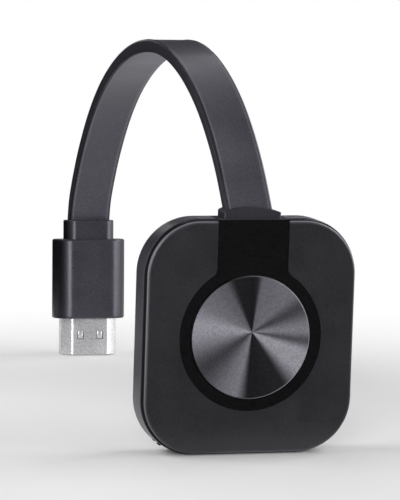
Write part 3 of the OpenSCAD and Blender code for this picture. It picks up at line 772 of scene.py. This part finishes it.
# metal pieces: colour, roughness from and to, grain per metre, its depth in mm, and the share of metal
metals = {
    "plug_steel": {"colour": (0.74, 0.735, 0.76), "rough": (0.27, 0.31),
                   "grain": 4600, "depth": 0.001, "metal": 0.75},
    "port_steel": {"colour": (0.66, 0.66, 0.68), "rough": (0.24, 0.36), "grain": 3000, "depth": 0.004},
    "screw_steel": {"colour": (0.62, 0.62, 0.64), "rough": (0.26, 0.38), "grain": 4000, "depth": 0.004},
    "sink_aluminium": {"colour": (0.70, 0.70, 0.72), "rough": (0.34, 0.48), "grain": 3500, "depth": 0.008},
    "shield_tin": {"colour": (0.72, 0.72, 0.74), "rough": (0.22, 0.36), "grain": 2200, "depth": 0.004},
    "antenna_foil": {"colour": (0.72, 0.45, 0.20), "rough": (0.28, 0.4), "grain": 2400, "depth": 0.005},
    "wire_copper": {"colour": (0.72, 0.48, 0.25), "rough": (0.24, 0.36), "grain": 3000, "depth": 0.003},
    "contact_gold": {"colour": (0.85, 0.62, 0.25), "rough": (0.18, 0.28), "grain": 3500, "depth": 0.002},
}
metalLook = {
    "patches": 160,                     # per metre
    "smears": 260,                      # per metre
    "grainShares": (0.62, 1.06),        # the colour's shares in the grain, over this range of its noise
    "grainRange": (0.4, 0.6),
    "smearRough": 0.05,
}


def makeMetal(slot, finish):
    mat, tree, bsdf = newMaterial(slot)
    vector = place(tree)
    grain = addGroup(tree, mouldGrain, vector, Grain_per_metre=finish["grain"],
                     Patch_per_metre=metalLook["patches"])
    smear = addGroup(tree, smudge, vector, Smears_per_metre=metalLook["smears"])["Smear"]
    colours = (tint(finish["colour"], share) for share in metalLook["grainShares"])
    tree.links.new(ramp(tree, grain["Grain"], *colours, *metalLook["grainRange"]), bsdf.inputs["Base Color"])
    rough = mathNode(tree, "ADD", spread(tree, grain["Grain"], *finish["rough"]),
                     mathNode(tree, "MULTIPLY", smear, metalLook["smearRough"]))
    tree.links.new(rough, bsdf.inputs["Roughness"])
    bsdf.inputs["Metallic"].default_value = finish.get("metal", 1)
    tree.links.new(bump(tree, grain["Height"], finish["depth"] * mm), bsdf.inputs["Normal"])
    return mat


disc = {
    "middle": (0.25 * mm, 0, 26.3 * mm),    # where the painted fans of reflected light meet
    "centre": (0, 0, 25.15 * mm),
    "rim": (12.92 * mm, 13.02 * mm),        # the painted highlight of the cut edge starts here
    "rimHighlightColours": ((0.02, 0.02, 0.02), (0.78, 0.77, 0.82)),
    "rimHighlightSpan": (-6 * mm, 9 * mm),            # the painted cut edge turns from dark to bright between these, along X
    "tint": (1, 0.985, 1.12),
    "rings": 9000,                          # per metre
    "ringShares": (0.8, 1),
    "ringDepth": 0.004 * mm,
    "rough": (0.30, 0.44),
    "grain": 3600,                          # per metre
    "patches": 90,                          # per metre
    "grainShares": (0.8, 1.12),
    "grainRange": (0.38, 0.62),
    # painted reflections: the tone of the fans of reflected light round the middle, by the share of a turn
    # clockwise seen from the front
    "reflectionTones": [
        (0.00, 0.042), (0.012, 0.055), (0.035, 0.42), (0.13, 0.47), (0.18, 0.18), (0.245, 0.64),
        (0.277, 0.25), (0.31, 1.00), (0.352, 0.98), (0.41, 0.06), (0.505, 0.045), (0.54, 0.62),
        (0.65, 0.17), (0.77, 1.00), (0.84, 0.50), (0.905, 0.36), (0.945, 0.05), (1.00, 0.042)],
}


def paintDiscReflections(tree, angle):
    node = tree.nodes.new("ShaderNodeValToRGB")
    node.color_ramp.interpolation = "EASE"
    stops = node.color_ramp.elements
    stops[0].position, stops[-1].position = 0, 1
    for share, _ in disc["reflectionTones"][1:-1]:
        stops.new(share)
    for stop, (share, tone) in zip(stops, disc["reflectionTones"]):
        stop.position = share
        stop.color = (*(tone * c for c in disc["tint"]), 1)
    # the group's angle starts at the foot, half a turn from the top
    tree.links.new(mathNode(tree, "FRACT", mathNode(tree, "ADD", angle, 0.5)), node.inputs["Fac"])
    return node.outputs["Color"]


def makeDiscMetal():
    mat, tree, bsdf = newMaterial("disc_metal")
    vector = place(tree, disc["middle"])
    turned = addGroup(tree, turnedLines, vector, Rings_per_metre=disc["rings"])
    grain = addGroup(tree, mouldGrain, vector, Grain_per_metre=disc["grain"], Patch_per_metre=disc["patches"])
    edge = addGroup(tree, turnedLines, place(tree, disc["centre"]))
    # painted reflections: fans of reflected light in the colour, times the turned rings
    ringsAndReflections = mix(tree, 1, paintDiscReflections(tree, turned["Angle"]),
                ramp(tree, turned["Height"], *map(grey, disc["ringShares"])), "MULTIPLY")
    speckle = ramp(tree, grain["Grain"], *map(grey, disc["grainShares"]), *disc["grainRange"])
    face = mix(tree, 1, ringsAndReflections, speckle, "MULTIPLY")
    # painted shade and highlight on the cut edge: dark towards -X, bright towards +X
    lit = spread(tree, axes(tree, vector)["X"], 0, 1, *disc["rimHighlightSpan"])
    rim = ramp(tree, lit, *disc["rimHighlightColours"], 0, 1)
    shown = mix(tree, spread(tree, edge["Radius"], 0, 1, *disc["rim"]), face, rim)
    tree.links.new(shown, bsdf.inputs["Base Color"])
    bsdf.inputs["Metallic"].default_value = 1
    tree.links.new(spread(tree, turned["Height"], *disc["rough"]), bsdf.inputs["Roughness"])
    tree.links.new(bump(tree, turned["Height"], disc["ringDepth"]), bsdf.inputs["Normal"])
    return mat


# circuit boards: the solder mask's colour and that of the tracks below it
boards = {
    "board_green": {"mask": (0.02, 0.12, 0.06), "track": (0.05, 0.2, 0.09)},
    "board_blue": {"mask": (0.015, 0.07, 0.17), "track": (0.03, 0.12, 0.26)},
}
boardLook = {
    "tracks": 420,                          # per metre
    "trackWidth": 0.03,
    "trackDepth": 0.02 * mm,
    "grain": 2500,                          # per metre
    "patches": 200,                         # per metre
    "rough": (0.25, 0.4),
}


def makeBoard(slot, board):
    mat, tree, bsdf = newMaterial(slot)
    vector = place(tree)
    tracks = tree.nodes.new("ShaderNodeTexBrick")
    tracks.inputs["Scale"].default_value = boardLook["tracks"]
    tracks.inputs["Mortar Size"].default_value = boardLook["trackWidth"]
    tracks.inputs["Color1"].default_value = tracks.inputs["Color2"].default_value = (*board["mask"], 1)
    tracks.inputs["Mortar"].default_value = (*board["track"], 1)
    upright = tree.nodes.new("ShaderNodeMapping")
    upright.inputs["Rotation"].default_value = (math.pi / 2, 0, 0)
    tree.links.new(vector, upright.inputs["Vector"])
    tree.links.new(upright.outputs["Vector"], tracks.inputs["Vector"])
    tree.links.new(tracks.outputs["Color"], bsdf.inputs["Base Color"])
    grain = addGroup(tree, mouldGrain, vector, Grain_per_metre=boardLook["grain"],
                     Patch_per_metre=boardLook["patches"])
    tree.links.new(spread(tree, grain["Patch"], *boardLook["rough"]), bsdf.inputs["Roughness"])
    tree.links.new(bump(tree, tracks.outputs["Fac"], boardLook["trackDepth"]), bsdf.inputs["Normal"])
    return mat


# the light pipe is smoked, nearly black while the light is off
pipe = {
    "colour": (0.003, 0.003, 0.004, 1),
    "through": 0.05,
    "reflects": 0.05,
    "ior": 1.49,
    "grain": 3000,                          # per metre
    "patches": 400,                         # per metre
    "rough": (0.5, 0.6),
}


def makeClear():
    mat, tree, bsdf = newMaterial("pipe_clear")
    grain = addGroup(tree, mouldGrain, place(tree), Grain_per_metre=pipe["grain"],
                     Patch_per_metre=pipe["patches"])
    bsdf.inputs["Base Color"].default_value = pipe["colour"]
    bsdf.inputs["Transmission Weight"].default_value = pipe["through"]
    bsdf.inputs["Specular IOR Level"].default_value = pipe["reflects"]
    bsdf.inputs["IOR"].default_value = pipe["ior"]
    tree.links.new(spread(tree, grain["Patch"], *pipe["rough"]), bsdf.inputs["Roughness"])
    return mat


finishes = {slot: makeMoulded(slot, finish) for slot, finish in moulded.items()}
finishes.update({slot: makeMetal(slot, finish) for slot, finish in metals.items()})
finishes.update({slot: makeBoard(slot, board) for slot, board in boards.items()})
finishes["disc_metal"] = makeDiscMetal()
finishes["pipe_clear"] = makeClear()

slotOf = {row["node"]: row["material_slot"] for row in frame["record"]["subparts"]}
for name, node in frame["nodes"].items():
    node.data.materials.clear()
    node.data.materials.append(finishes[slotOf[name]])
flatCable.data.materials.append(finishes["cable_jacket"])
plugShell.data.materials.append(finishes["plug_steel"])
print("finishes made:", len(finishes))
